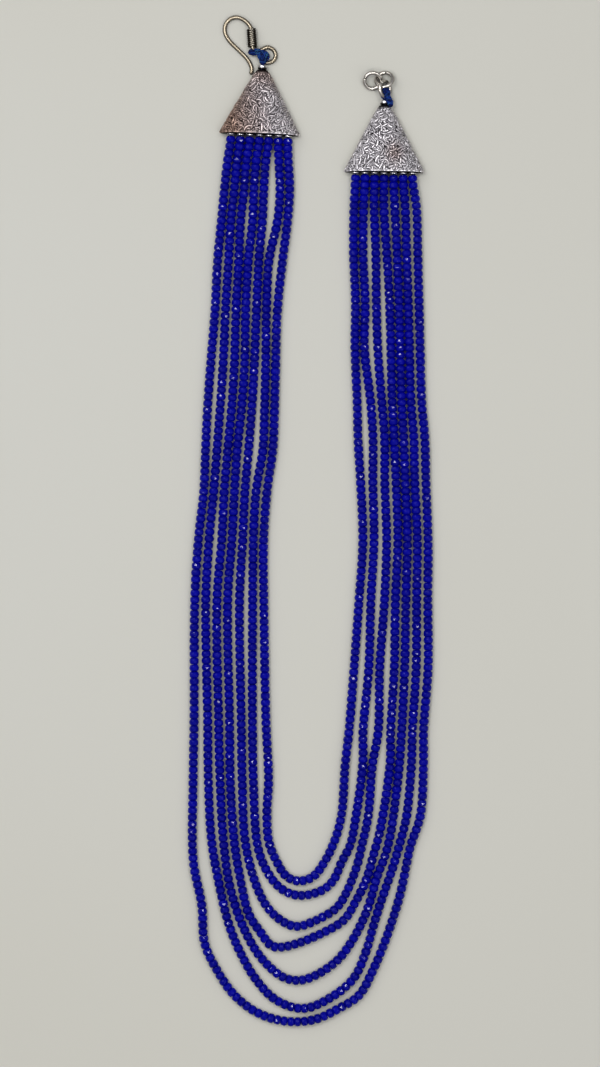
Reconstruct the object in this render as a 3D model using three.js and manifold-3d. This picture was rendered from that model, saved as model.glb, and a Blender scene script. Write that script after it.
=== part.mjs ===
// A seven-strand beaded necklace with two silver end caps, a wire hook and three jump rings.
// It lies open on a flat surface in a long U. Millimetres, +X to the right, +Y towards the clasp,
// +Z up from the surface. The origin is under the middle of the whole necklace.

import * as THREE from 'three';
import { mergeVertices } from 'three/addons/utils/BufferGeometryUtils.js';
import Module from 'manifold-3d';

const wasm = await Module();
wasm.setup();

// Fineness of the curves' measured length, and the distance at which two corners are one
const CURVE_MEASURES = 1500;
const CORNER_WELD = 1e-4;

// Strings of glass beads
const STRAND_COUNT = 7;
const STRING_THICKNESS = 3.6;
const STRING_SIDES = 8;
const STRING_STEP_LENGTH = 11.8;
const STRING_LEAD = 2.5;
const STRING_RISE_SHARES = [0.45, 0.08];

// Spacer beads at the strand ends
const SPACER_DIAMETER = 3.6;
const SPACER_LENGTH = 1.0;
const SPACER_BORE = 1.2;
const SPACER_GAP = 0.4;
const SPACER_DEPTH = 0.35;
const SPACER_ROUNDING = 0.25;
const DISC_SIDES = 8;

// Clearance between pieces that seat on each other
const CLEARANCE = 0.3;

// End caps
const CAP_WALL = 1.1;
const CAP_SIDE_ROOM = 1.9;
const CAP_HEADROOM = 1.9;
const CAP_BULGE = 0.7;
const CAP_FOOT = 0.9;
const CAP_FOOT_LIMIT = 0.35;
const CAP_HEEL_INSET_SHARE = 0.25;
const CAP_HEEL_HEIGHT_SHARE = 0.4;
const CAP_CORNER = 0.5;
const CAP_ROUNDNESS = 2.6;
const CAP_BELLY_SHARE = 0.25;
const CAP_DOME_STEPS = 16;
const CAP_FACE_STEPS = 5;
const CAP_HOLLOW_STEPS = 4;
const RIM_WIDTH = 1.3;
const RIM_HEIGHT = 0.3;

// Raised strokes of the cast texture, in patches of parallel strokes
const STROKE_LENGTH = 3.0;
const STROKE_WIDTH = 0.8;
const STROKE_CREST_SHARE = 0.3;
const STROKE_HEIGHT = 0.35;
const STROKE_ROOT = 0.45;
const STROKE_SPACING = 1.35;
const STROKES_IN_PATCH = 2;
const PATCH_PITCH = 4.9;
const PATCH_ROW_PITCH = 4.3;
const PATCH_EDGE = 2.4;
const PATCH_TURN = THREE.MathUtils.degToRad(137.5);
const SLOPE_REACH = 0.2;

// Thread ties and collar beads
const STEM_DIAMETER = 1.5;
const STEM_CLEARANCE = 0.46;
const STEM_TUCK = 3.0;
const LUMP_SIDES = 12;
const COLLAR_DIAMETER = 3.8;
const COLLAR_LENGTH = 1.85;
const COLLAR_ROUNDING = 0.4;

// Hook wire and the finer wire wound round its neck; the pitch leaves the turns just apart
const HOOK_WIRE = 1.7;
const HOOK_STEP_LENGTH = 1.2;
const WRAP_WIRE = 0.7;
const WRAP_PITCH = 0.83;
const WRAP_TURNS = 9;
const WRAP_STEPS_IN_TURN = 10;
const WRAP_CLEARANCE = 0.18;
const WIRE_SIDES = 6;

// Jump rings
const RING_WIRE = 1.55;
const RING_STEPS = 18;
const RING_CUT = THREE.MathUtils.degToRad(9);

// Where the two ends of the necklace lie: the middle of each cap's mouth, its lean and its length
const LEFT_END = { x: -21.0, y: 161.9, lean: THREE.MathUtils.degToRad(-2.4), length: 27.0 };
const RIGHT_END = { x: 31.3, y: 146.0, lean: THREE.MathUtils.degToRad(-0.6), length: 28.0 };

// The lie of the seven strands. Each leg's row gives y, then the x of strands 1 to 7, outermost
// first. The left legs run down from the cap, the turns run from left to right round the bottom,
// and the right legs run up to the other cap. The first and last points are the spacers' own.
const STRAND_ROUTES = {
  leftLegs: [
    [151.2, -34.4, -30.4, -26.5, -22.4, -18.3, -12.9, -8.9],
    [138.6, -35.8, -31.6, -27.5, -23.4, -19.2, -12.4, -8.3],
    [126.0, -37.0, -33.0, -28.9, -23.9, -19.8, -13.4, -9.2],
    [109.2, -38.6, -34.0, -29.7, -25.7, -21.3, -17.0, -11.3],
    [88.2, -39.7, -35.3, -30.9, -26.8, -22.3, -18.1, -13.5],
    [67.2, -41.4, -36.2, -31.5, -27.2, -23.1, -18.4, -14.2],
    [46.2, -42.9, -37.6, -32.8, -28.6, -24.3, -18.9, -14.7],
    [29.4, -43.7, -38.9, -34.4, -30.4, -25.6, -19.6, -15.4],
    [12.6, -44.4, -40.2, -35.8, -31.5, -27.1, -22.4, -17.8],
    [-8.4, -46.7, -42.2, -36.9, -32.6, -28.1, -23.6, -19.3],
    [-33.6, -48.2, -43.6, -38.9, -34.4, -29.4, -23.9, -19.2],
    [-84.0, -48.5, -42.8, -38.2, -33.6, -28.7, -24.0, -18.3],
    [-109.2, -48.9, -42.5, -37.6, -33.3, -28.3, -23.6, -17.2],
  ],
  turns: [
    [[-48.8, -143.6], [-45.2, -162.1], [-44.1, -177.9], [-38.6, -189.6], [-31.8, -199.4],
      [-22.0, -207.0], [-10.2, -210.6], [1.9, -210.0], [12.7, -205.0], [20.7, -199.9],
      [26.6, -189.3], [32.5, -174.9], [38.1, -157.2], [42.5, -136.7], [46.5, -124.8]],
    [[-41.2, -134.4], [-38.2, -152.0], [-34.0, -169.6], [-29.1, -181.7], [-22.6, -192.9],
      [-14.1, -201.7], [-2.6, -205.3], [8.6, -200.8], [18.3, -192.9], [23.6, -181.7],
      [27.2, -169.3], [31.0, -157.5], [34.5, -147.5], [37.7, -136.7], [40.7, -124.8]],
    [[-36.0, -136.9], [-33.1, -155.4], [-28.1, -170.5], [-20.3, -184.0], [-10.8, -192.3],
      [-4.4, -193.5], [1.8, -191.7], [12.1, -184.6], [19.5, -174.0], [24.8, -162.2],
      [28.2, -150.4], [31.8, -140.9], [34.2, -131.1]],
    [[-31.7, -134.4], [-29.0, -151.2], [-25.4, -165.9], [-20.3, -173.5], [-16.4, -178.8],
      [-13.2, -179.6], [-7.0, -178.5], [4.5, -174.0], [14.8, -167.8], [18.6, -161.7],
      [23.9, -151.0], [26.8, -140.9], [29.5, -131.1]],
    [[-27.1, -134.4], [-23.2, -151.2], [-17.7, -162.8], [-10.8, -169.0], [-5.3, -170.9],
      [0.9, -169.0], [11.3, -163.1], [15.1, -157.3], [19.8, -145.7], [22.0, -136.7],
      [24.6, -124.8]],
    [[-21.9, -136.5], [-18.9, -145.7], [-13.7, -153.4], [-8.5, -156.9], [-2.3, -157.8],
      [6.6, -154.9], [10.7, -150.4], [13.3, -144.0], [17.1, -136.7], [18.9, -128.1]],
    [[-17.9, -123.9], [-17.0, -135.7], [-13.2, -144.6], [-9.7, -149.9], [-4.4, -151.8],
      [1.6, -149.9], [5.7, -144.6], [9.8, -136.7], [13.3, -124.8]],
  ],
  rightLegs: [
    [-102.5, 47.9, 42.8, 37.8, 33.8, 26.5, 22.4, 15.0],
    [-88.6, 47.9, 43.2, 38.7, 34.1, 28.9, 22.5, 16.6],
    [-62.2, 49.8, 44.8, 40.0, 35.6, 29.5, 24.9, 18.7],
    [-33.6, 49.7, 45.0, 40.5, 36.1, 31.5, 25.8, 20.8],
    [-8.4, 49.8, 45.3, 41.1, 37.1, 32.4, 27.1, 22.4],
    [16.8, 48.9, 44.2, 40.2, 36.3, 31.6, 26.6, 21.4],
    [33.6, 48.5, 43.9, 39.6, 35.6, 31.6, 26.7, 20.4],
    [50.4, 47.1, 42.6, 38.7, 34.7, 30.3, 25.6, 20.0],
    [71.8, 46.5, 42.0, 38.1, 34.2, 28.7, 23.1, 19.1],
    [92.0, 46.0, 41.5, 37.6, 33.6, 28.1, 23.4, 19.3],
    [111.7, 45.5, 40.8, 36.8, 32.5, 27.9, 22.5, 18.5],
    [131.9, 44.9, 40.2, 35.8, 31.2, 27.1, 22.7, 18.7],
  ],
};

// The bent line of the hook's wire from the tip to the neck, then the eye. Each point is x and y in
// the left cap's frame from the far end of its collar, and the share of the neck's rise.
const HOOK_BEND = [
  [-4.9, -3.9, 0], [-4.4, -2.0, 0], [-5.1, 0.3, 0], [-6.5, 2.5, 0], [-8.7, 4.7, 0],
  [-11.4, 7.1, 0], [-14.1, 9.6, 0], [-15.8, 12.0, 0], [-16.5, 14.4, 0], [-16.1, 16.9, 0],
  [-14.5, 18.9, 0.1], [-11.8, 19.8, 0.25], [-9.0, 19.0, 0.6], [-6.7, 17.2, 0.9],
];
const HOOK_NECK_TOP = [-5.3, 14.9, 1];
const HOOK_NECK_BOTTOM = [-4.5, 7.6, 1];
const HOOK_EYE = [
  [-3.8, 5.9, 0.9], [-2.3, 5.4, 0.7], [-0.7, 6.6, 0.5], [1.9, 7.8, 0.25], [4.3, 6.8, 0.05],
  [5.4, 4.5, 0], [4.5, 2.3, 0], [2.2, 1.3, 0], [-0.3, 1.9, 0], [-1.2, 3.2, 0],
];

// Jump rings: the middle in the right cap's frame from its collar's far end, the radius of the
// wire's centre line, and in degrees the slope, the heading that it rises to and the cut's place
const JUMP_RINGS = [
  { middle: [-5.11, 8.34, 2.44], radius: 3.5, slope: 26, rises: 102, cut: 60 },
  { middle: [-0.26, 8.78, 2.69], radius: 3.55, slope: 30, rises: 291, cut: 150 },
  { middle: [-0.07, 4.75, 3.98], radius: 3.2, slope: 48, rises: 179, cut: -40 },
];

// The middle of the outline, from the strands' lowest and outermost bends and the hook's top
const MIDDLE = { x: 0.33, y: -0.1 };

// Lumps of the thread ties: middle, half sizes and turn, each in its cap's frame from the collar's
// far end, and how far the straight stem reaches beyond the collar.
const LEFT_TIE = {
  reach: 2.4,
  lumps: [
    [[0.3, 3.9, 2.7], [2.7, 2.3, 2.4], -22],
    [[0.1, 1.9, 2.5], [1.6, 1.6, 1.7], 0],
    [[-2.0, 5.4, 3.0], [2.2, 1.4, 1.5], -20],
    [[-4.2, 5.3, 2.2], [2.1, 1.45, 2.1], 0],
  ],
};
const RIGHT_TIE = {
  reach: 2.0,
  lumps: [
    [[0.1, 3.0, 2.9], [2.2, 2.7, 2.6], 8],
  ],
};

const SPACER_PITCH = SPACER_DIAMETER + SPACER_GAP;
const STRING_AXIS = STRING_THICKNESS / 2;
const SPACER_AXIS = CAP_WALL + CLEARANCE + SPACER_DIAMETER / 2;
const STRING_RISES = STRING_RISE_SHARES.map((share) => share * (SPACER_AXIS - STRING_AXIS));
const STRING_START = SPACER_DEPTH + SPACER_LENGTH / 2 + CLEARANCE;
const MOUTH_HALF_WIDTH = (STRAND_COUNT * SPACER_PITCH - SPACER_GAP) / 2 + CAP_SIDE_ROOM + CAP_WALL;
const MOUTH_HEIGHT = SPACER_DIAMETER + CLEARANCE + CAP_HEADROOM + 2 * CAP_WALL;
const STEM_BORE = STEM_DIAMETER + 2 * STEM_CLEARANCE;
const APEX_HALF_WIDTH = STEM_BORE / 2 + CAP_WALL;
const APEX_HEIGHT = STEM_BORE + 2 * CAP_WALL;
const STEM_AXIS = APEX_HEIGHT / 2;
const WIRE_CORNER = 1 / Math.cos(Math.PI / WIRE_SIDES);
const WRAP_CHORD = Math.cos(Math.PI / WRAP_STEPS_IN_TURN);
const WRAP_RADIUS = ((HOOK_WIRE + WRAP_WIRE) / 2 * WIRE_CORNER + WRAP_CLEARANCE) / WRAP_CHORD;
const HOOK_LIE = HOOK_WIRE / 2 * WIRE_CORNER;
const NECK_AXIS = WRAP_RADIUS + WRAP_WIRE / 2 * WIRE_CORNER;

const glass = { color: 0x14149c, roughness: 0.12, metalness: 0.0 };
const silver = { color: 0xc4c0ba, roughness: 0.38, metalness: 0.9 };
const agedSilver = { color: 0x9d9689, roughness: 0.42, metalness: 0.9 };
const thread = { color: 0x1e4896, roughness: 0.85, metalness: 0.0 };

// Solids for joining and cutting

function toSolid(geometry) {
  const bare = geometry.clone();
  bare.deleteAttribute('normal');
  bare.deleteAttribute('uv');
  const merged = mergeVertices(bare, CORNER_WELD);
  const mesh = new wasm.Mesh({
    numProp: 3,
    vertProperties: new Float32Array(merged.attributes.position.array),
    triVerts: new Uint32Array(merged.index.array),
  });
  return new wasm.Manifold(mesh);
}

function toGeometry(solid) {
  const mesh = solid.getMesh();
  const geometry = new THREE.BufferGeometry();
  geometry.setAttribute('position', new THREE.BufferAttribute(new Float32Array(mesh.vertProperties), 3));
  geometry.setIndex(new THREE.BufferAttribute(new Uint32Array(mesh.triVerts), 1));
  geometry.computeVertexNormals();
  return geometry;
}

// Round and many-sided bars along a curve

function polygonSection(sides, flatToFlat) {
  const corner = flatToFlat / 2 / Math.cos(Math.PI / sides);
  const points = [];
  for (let k = 0; k < sides; k += 1) {
    const angle = (k + 0.5) * 2 * Math.PI / sides;
    points.push(new THREE.Vector2(corner * Math.cos(angle), corner * Math.sin(angle)));
  }
  return new THREE.Shape(points);
}

function barAlong(curve, thickness, sides, steps) {
  return new THREE.ExtrudeGeometry(polygonSection(sides, thickness), {
    steps,
    extrudePath: curve,
    bevelEnabled: false,
  });
}

function smoothCurve(points) {
  const curve = new THREE.CatmullRomCurve3(points, false, 'centripetal');
  curve.arcLengthDivisions = CURVE_MEASURES;
  return curve;
}

// A disc bead with a bore along Y, with rounded edges

function discBead(diameter, length, bore, rounding) {
  const outer = diameter / 2;
  const half = length / 2;
  const profile = [
    [bore / 2, -half],
    [outer - rounding, -half],
    [outer, -half + rounding],
    [outer, half - rounding],
    [outer - rounding, half],
    [bore / 2, half],
    [bore / 2, -half],
  ];
  return new THREE.LatheGeometry(profile.map(([x, y]) => new THREE.Vector2(x, y)), DISC_SIDES);
}

// End cap: a flattened hollow cone with a flat back, open at its wide mouth, bored at its apex.
// In its own frame the mouth lies at y = 0, and the back at z = 0. Its section stands on a foot that
// is set in from the heel, bellies out to the full width and closes over in a dome.

function capHalfWidth(length, y) {
  const share = y / length;
  return MOUTH_HALF_WIDTH + (APEX_HALF_WIDTH - MOUTH_HALF_WIDTH) * share;
}

function capHeight(length, y) {
  const share = y / length;
  return MOUTH_HEIGHT + (APEX_HEIGHT - MOUTH_HEIGHT) * share + CAP_BULGE * Math.sin(Math.PI * share);
}

function domeShare(side) {
  return (1 - Math.abs(side) ** CAP_ROUNDNESS) ** (1 / CAP_ROUNDNESS);
}

function capSection(halfWidth, height, y, lift) {
  const belly = height * CAP_BELLY_SHARE;
  const foot = Math.min(CAP_FOOT, halfWidth * CAP_FOOT_LIMIT);
  const heel = halfWidth - foot * CAP_HEEL_INSET_SHARE;
  const heelHeight = belly * CAP_HEEL_HEIGHT_SHARE;
  const points = [[halfWidth - foot, 0], [heel, heelHeight]];
  for (let k = 0; k <= CAP_DOME_STEPS; k += 1) {
    const angle = Math.PI * k / CAP_DOME_STEPS;
    const side = Math.sign(Math.cos(angle)) * Math.abs(Math.cos(angle)) ** (2 / CAP_ROUNDNESS);
    points.push([halfWidth * side, belly + (height - belly) * Math.sin(angle) ** (2 / CAP_ROUNDNESS)]);
  }
  points.push([-heel, heelHeight], [foot - halfWidth, 0]);
  return points.map(([x, z]) => new THREE.Vector3(x, y, z + lift));
}

function ringShell(rings) {
  const around = rings[0].length;
  const positions = rings.flat().flatMap((point) => [point.x, point.y, point.z]);
  const index = [];
  for (let ring = 0; ring < rings.length; ring += 1) {
    const next = (ring + 1) % rings.length;
    for (let k = 0; k < around; k += 1) {
      const after = (k + 1) % around;
      const a = ring * around + k;
      const b = ring * around + after;
      const c = next * around + after;
      const d = next * around + k;
      index.push(a, c, b, a, d, c);
    }
  }
  const geometry = new THREE.BufferGeometry();
  geometry.setAttribute('position', new THREE.Float32BufferAttribute(positions, 3));
  geometry.setIndex(index);
  return geometry;
}

function capShell(length) {
  const outer = [
    capSection(MOUTH_HALF_WIDTH - CAP_CORNER, MOUTH_HEIGHT, 0, 0),
    capSection(MOUTH_HALF_WIDTH, MOUTH_HEIGHT + RIM_HEIGHT, RIM_WIDTH / 2, 0),
    capSection(capHalfWidth(length, RIM_WIDTH), capHeight(length, RIM_WIDTH), RIM_WIDTH, 0),
  ];
  for (let step = 1; step <= CAP_FACE_STEPS; step += 1) {
    const y = length * step / CAP_FACE_STEPS;
    outer.push(capSection(capHalfWidth(length, y), capHeight(length, y), y, 0));
  }
  const inner = [];
  for (let step = CAP_HOLLOW_STEPS; step >= 0; step -= 1) {
    const y = length * step / CAP_HOLLOW_STEPS;
    const outside = step === 0 ? MOUTH_HALF_WIDTH - CAP_CORNER : capHalfWidth(length, y);
    inner.push(capSection(outside - CAP_WALL, capHeight(length, y) - 2 * CAP_WALL, y, CAP_WALL));
  }
  return ringShell([...outer, ...inner]);
}

function capFront(length, x, y) {
  const height = capHeight(length, y);
  const belly = height * CAP_BELLY_SHARE;
  return belly + (height - belly) * domeShare(x / capHalfWidth(length, y));
}

function strokeSolid(length, x, y, heading) {
  const crest = STROKE_WIDTH * STROKE_CREST_SHARE;
  const shape = new THREE.Shape([
    new THREE.Vector2(-STROKE_WIDTH / 2, -STROKE_ROOT),
    new THREE.Vector2(STROKE_WIDTH / 2, -STROKE_ROOT),
    new THREE.Vector2(crest / 2, STROKE_HEIGHT),
    new THREE.Vector2(-crest / 2, STROKE_HEIGHT),
  ]);
  const bar = new THREE.ExtrudeGeometry(shape, { depth: STROKE_LENGTH, bevelEnabled: false });
  bar.translate(0, 0, -STROKE_LENGTH / 2);
  const riseX = capFront(length, x + SLOPE_REACH, y) - capFront(length, x - SLOPE_REACH, y);
  const riseY = capFront(length, x, y + SLOPE_REACH) - capFront(length, x, y - SLOPE_REACH);
  const slopeX = riseX / (2 * SLOPE_REACH);
  const slopeY = riseY / (2 * SLOPE_REACH);
  const up = new THREE.Vector3(-slopeX, -slopeY, 1).normalize();
  const along = new THREE.Vector3(Math.cos(heading), Math.sin(heading), 0);
  along.addScaledVector(up, -along.dot(up)).normalize();
  const across = new THREE.Vector3().crossVectors(up, along);
  const place = new THREE.Matrix4().makeBasis(across, up, along);
  place.setPosition(x, y, capFront(length, x, y));
  bar.applyMatrix4(place);
  return toSolid(bar);
}

function capStrokes(length) {
  const strokes = [];
  let patch = 0;
  for (let y = PATCH_EDGE + RIM_WIDTH; y < length - PATCH_EDGE; y += PATCH_ROW_PITCH) {
    const usable = 2 * (capHalfWidth(length, y) - PATCH_EDGE);
    const count = Math.max(1, Math.floor(usable / PATCH_PITCH) + 1);
    for (let column = 0; column < count; column += 1) {
      const middle = (column - (count - 1) / 2) * PATCH_PITCH;
      const heading = patch * PATCH_TURN;
      for (let stroke = 0; stroke < STROKES_IN_PATCH; stroke += 1) {
        const offset = (stroke - (STROKES_IN_PATCH - 1) / 2) * STROKE_SPACING;
        const x = middle - offset * Math.sin(heading);
        strokes.push(strokeSolid(length, x, y + offset * Math.cos(heading), heading));
      }
      patch += 1;
    }
  }
  return strokes;
}

function endCap(length) {
  const shell = toSolid(capShell(length));
  return toGeometry(capStrokes(length).reduce((whole, stroke) => whole.add(stroke), shell));
}

// The necklace

const necklace = new THREE.Group();
const laid = new THREE.Group();
laid.position.set(-MIDDLE.x, -MIDDLE.y, 0);
necklace.add(laid);

function addPiece(parent, name, geometry, finish) {
  const mesh = new THREE.Mesh(geometry, new THREE.MeshStandardMaterial(finish));
  mesh.name = name;
  parent.add(mesh);
  return mesh;
}

function endPoint(end, x, y, z) {
  const turned = new THREE.Vector3(x, y, z).applyAxisAngle(new THREE.Vector3(0, 0, 1), end.lean);
  return turned.add(new THREE.Vector3(end.x, end.y, 0));
}

function spacerPlace(strand, side) {
  return side * (strand - (STRAND_COUNT - 1) / 2) * SPACER_PITCH;
}

function addEnd(name, end, side) {
  const group = new THREE.Group();
  group.position.set(end.x, end.y, 0);
  group.rotation.z = end.lean;
  laid.add(group);
  addPiece(group, `${name}_end_cap`, endCap(end.length), silver);
  for (let strand = 0; strand < STRAND_COUNT; strand += 1) {
    const bead = discBead(SPACER_DIAMETER, SPACER_LENGTH, SPACER_BORE, SPACER_ROUNDING);
    const mesh = addPiece(group, `${name}_spacer_${strand + 1}`, bead, silver);
    mesh.position.set(spacerPlace(strand, side), -SPACER_DEPTH, SPACER_AXIS);
  }
  const collar = discBead(COLLAR_DIAMETER, COLLAR_LENGTH, STEM_BORE, COLLAR_ROUNDING);
  const mesh = addPiece(group, `${name}_collar`, collar, silver);
  mesh.position.set(0, end.length + CLEARANCE + COLLAR_LENGTH / 2, STEM_AXIS);
}

function strandCurve(strand) {
  const lead = STRING_START + STRING_LEAD;
  const points = [
    endPoint(LEFT_END, spacerPlace(strand, 1), -STRING_START, SPACER_AXIS),
    endPoint(LEFT_END, spacerPlace(strand, 1), -lead, SPACER_AXIS),
  ];
  for (const [row, values] of STRAND_ROUTES.leftLegs.entries()) {
    const rise = STRING_RISES[row] ?? 0;
    points.push(new THREE.Vector3(values[strand + 1], values[0], STRING_AXIS + rise));
  }
  for (const [x, y] of STRAND_ROUTES.turns[strand]) {
    points.push(new THREE.Vector3(x, y, STRING_AXIS));
  }
  const lastRow = STRAND_ROUTES.rightLegs.length - 1;
  for (const [row, values] of STRAND_ROUTES.rightLegs.entries()) {
    const rise = STRING_RISES[lastRow - row] ?? 0;
    points.push(new THREE.Vector3(values[strand + 1], values[0], STRING_AXIS + rise));
  }
  points.push(endPoint(RIGHT_END, spacerPlace(strand, -1), -lead, SPACER_AXIS));
  points.push(endPoint(RIGHT_END, spacerPlace(strand, -1), -STRING_START, SPACER_AXIS));
  return smoothCurve(points);
}

function addStrands() {
  for (let strand = 0; strand < STRAND_COUNT; strand += 1) {
    const curve = strandCurve(strand);
    const steps = Math.round(curve.getLength() / STRING_STEP_LENGTH);
    const bar = barAlong(curve, STRING_THICKNESS, STRING_SIDES, steps);
    addPiece(laid, `strand_${strand + 1}`, bar, glass);
  }
}

// Hook, and the wire wound round its neck

function beyondCollar(end, x, y, z) {
  return endPoint(end, x, y + end.length + CLEARANCE + COLLAR_LENGTH, z);
}

function hookPoint([x, y, rise]) {
  return beyondCollar(LEFT_END, x, y, HOOK_LIE + rise * (NECK_AXIS - HOOK_LIE));
}

function hookCurve() {
  const top = hookPoint(HOOK_NECK_TOP);
  const bottom = hookPoint(HOOK_NECK_BOTTOM);
  const middle = top.clone().lerp(bottom, 0.5);
  return smoothCurve([...HOOK_BEND.map(hookPoint), top, middle, bottom, ...HOOK_EYE.map(hookPoint)]);
}

function hookBar(thickness) {
  const curve = hookCurve();
  const steps = Math.round(curve.getLength() / HOOK_STEP_LENGTH);
  return barAlong(curve, thickness, WIRE_SIDES, steps);
}

class WrapCurve extends THREE.Curve {
  getPoint(share, target = new THREE.Vector3()) {
    const top = hookPoint(HOOK_NECK_TOP);
    const bottom = hookPoint(HOOK_NECK_BOTTOM);
    const down = bottom.clone().sub(top).normalize();
    const side = new THREE.Vector3(0, 0, 1).cross(down).normalize();
    const up = new THREE.Vector3().crossVectors(down, side);
    const angle = share * WRAP_TURNS * 2 * Math.PI;
    const wound = WRAP_PITCH * WRAP_TURNS;
    const start = (top.distanceTo(bottom) - wound) / 2;
    target.copy(top).addScaledVector(down, start + wound * share);
    target.addScaledVector(side, WRAP_RADIUS * Math.cos(angle));
    return target.addScaledVector(up, WRAP_RADIUS * Math.sin(angle));
  }
}

function addHook() {
  addPiece(laid, 'hook', hookBar(HOOK_WIRE), agedSilver);
  const wrap = barAlong(new WrapCurve(), WRAP_WIRE, WIRE_SIDES, WRAP_TURNS * WRAP_STEPS_IN_TURN);
  addPiece(laid, 'hook_wrap', wrap, agedSilver);
}

// Jump rings: round wire bent into a ring with a narrow cut

class RingCurve extends THREE.Curve {
  constructor(radius) {
    super();
    this.radius = radius;
  }

  getPoint(share, target = new THREE.Vector3()) {
    const angle = RING_CUT / 2 + share * (2 * Math.PI - RING_CUT);
    return target.set(this.radius * Math.cos(angle), this.radius * Math.sin(angle), 0);
  }
}

function ringPlace(ring) {
  const middle = beyondCollar(RIGHT_END, ...ring.middle);
  const place = new THREE.Matrix4().makeTranslation(middle.x, middle.y, middle.z);
  place.multiply(new THREE.Matrix4().makeRotationZ(RIGHT_END.lean + THREE.MathUtils.degToRad(ring.rises)));
  place.multiply(new THREE.Matrix4().makeRotationY(-THREE.MathUtils.degToRad(ring.slope)));
  return place.multiply(new THREE.Matrix4().makeRotationZ(THREE.MathUtils.degToRad(ring.cut)));
}

function ringBar(ring, thickness) {
  return barAlong(new RingCurve(ring.radius), thickness, WIRE_SIDES, RING_STEPS);
}

function addRings() {
  for (const [number, ring] of JUMP_RINGS.entries()) {
    const mesh = addPiece(laid, `jump_ring_${number + 1}`, ringBar(ring, RING_WIRE), silver);
    mesh.applyMatrix4(ringPlace(ring));
  }
}

// Thread ties: lumps of wound thread round the wires, on a stem that runs into the cap

function lump(end, middle, halfSizes, turn) {
  const ball = new THREE.SphereGeometry(1, LUMP_SIDES, LUMP_SIDES / 2);
  ball.scale(...halfSizes);
  ball.rotateZ(end.lean + THREE.MathUtils.degToRad(turn));
  ball.translate(...beyondCollar(end, ...middle).toArray());
  return toSolid(ball);
}

function stemSolid(end, reach) {
  const from = endPoint(end, 0, end.length - STEM_TUCK, STEM_AXIS);
  const to = beyondCollar(end, 0, reach, STEM_AXIS);
  return toSolid(barAlong(new THREE.LineCurve3(from, to), STEM_DIAMETER, STRING_SIDES, 1));
}

function addTies() {
  const leftParts = [
    stemSolid(LEFT_END, LEFT_TIE.reach),
    ...LEFT_TIE.lumps.map(([middle, halfSizes, turn]) => lump(LEFT_END, middle, halfSizes, turn)),
  ];
  const [x, y] = HOOK_EYE[HOOK_EYE.length - 1];
  const tip = HOOK_LIE + CLEARANCE;
  const left = leftParts.reduce((whole, part) => whole.add(part))
    .subtract(toSolid(hookBar(HOOK_WIRE + 2 * CLEARANCE)))
    .subtract(lump(LEFT_END, [x, y, HOOK_LIE], [tip, tip, tip], 0));
  addPiece(laid, 'left_thread_tie', toGeometry(left), thread);

  const rightParts = [
    stemSolid(RIGHT_END, RIGHT_TIE.reach),
    ...RIGHT_TIE.lumps.map(([middle, halfSizes, turn]) => lump(RIGHT_END, middle, halfSizes, turn)),
  ];
  const rightWhole = rightParts.reduce((whole, part) => whole.add(part));
  const right = JUMP_RINGS.slice(1).reduce((whole, ring) => {
    return whole.subtract(toSolid(ringBar(ring, RING_WIRE + 2 * CLEARANCE).applyMatrix4(ringPlace(ring))));
  }, rightWhole);
  addPiece(laid, 'right_thread_tie', toGeometry(right), thread);
}

addStrands();
addEnd('left', LEFT_END, 1);
addEnd('right', RIGHT_END, -1);
addHook();
addRings();
addTies();

export default necklace;
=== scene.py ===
"""A seven-strand necklace of faceted blue glass beads, lying open, with silver end caps, hook and rings."""

import bpy
import math
import numpy as np
from mathutils import Matrix, Vector


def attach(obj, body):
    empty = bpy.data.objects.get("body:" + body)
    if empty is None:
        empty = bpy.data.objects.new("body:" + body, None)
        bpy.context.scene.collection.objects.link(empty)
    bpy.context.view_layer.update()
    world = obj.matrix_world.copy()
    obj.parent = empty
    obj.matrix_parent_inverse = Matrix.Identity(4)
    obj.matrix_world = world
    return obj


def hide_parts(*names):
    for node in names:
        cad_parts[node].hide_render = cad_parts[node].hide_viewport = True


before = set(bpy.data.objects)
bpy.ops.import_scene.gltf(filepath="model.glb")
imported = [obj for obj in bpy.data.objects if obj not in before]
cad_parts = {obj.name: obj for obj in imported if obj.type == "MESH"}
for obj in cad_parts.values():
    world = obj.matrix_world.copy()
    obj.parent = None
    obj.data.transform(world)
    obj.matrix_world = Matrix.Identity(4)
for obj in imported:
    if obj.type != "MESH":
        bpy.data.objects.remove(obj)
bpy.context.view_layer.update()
MM = 0.001

# Strings of glass beads. Each string is faceted blue glass rondelles, 4.1 mm across and 2.8 mm long, pressed
# and cut with ten facets a side, threaded close on blue beading thread. The seven strings lie side by side
# in a long U, and rise at both ends to the spacers in the mouths of the end caps.

STRAND_COUNT = 7
BEAD_DIAMETER = 4.12 * MM
BEAD_PITCH = 2.85 * MM
BEAD_FACETS = 10
BEAD_END_DIAMETER = 2.8 * MM
BEAD_SHOULDER_DIAMETER = 3.8 * MM
BEAD_SHOULDER_REACH = 0.88 * MM
BEAD_HALF_LENGTH = 1.4 * MM
BEAD_BORE = 0.8 * MM
BEAD_BORE_SHARE = 0.88
BEAD_LEAN = 0.05
BEAD_SIZE_SPREAD = 0.012
BEAD_TONES = (0.5, 1)
BEAD_SEED = 7
BEAD_THREAD = 0.5 * MM
BEAD_THREAD_STEP = 6 * MM
BEAD_THREAD_TONE = 0.6
THREAD_SIDES = 6
CURVE_STEPS = 60
SPACER_PITCH = 4.0 * MM
SPACER_AXIS = 3.2 * MM
SPACER_DEPTH = 0.35 * MM
STRING_START = 1.15 * MM
STRING_LEAD = 2.5 * MM
STRING_RISE_SHARES = [0.45, 0.08]

# Painted shade on the glass round a bead's bore, end and shoulder, at its belt, and back to the other bore
BEAD_PAINTED_SHADES = [0.5, 0.7, 0.95, 1.0, 0.95, 0.7, 0.5]

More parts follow.
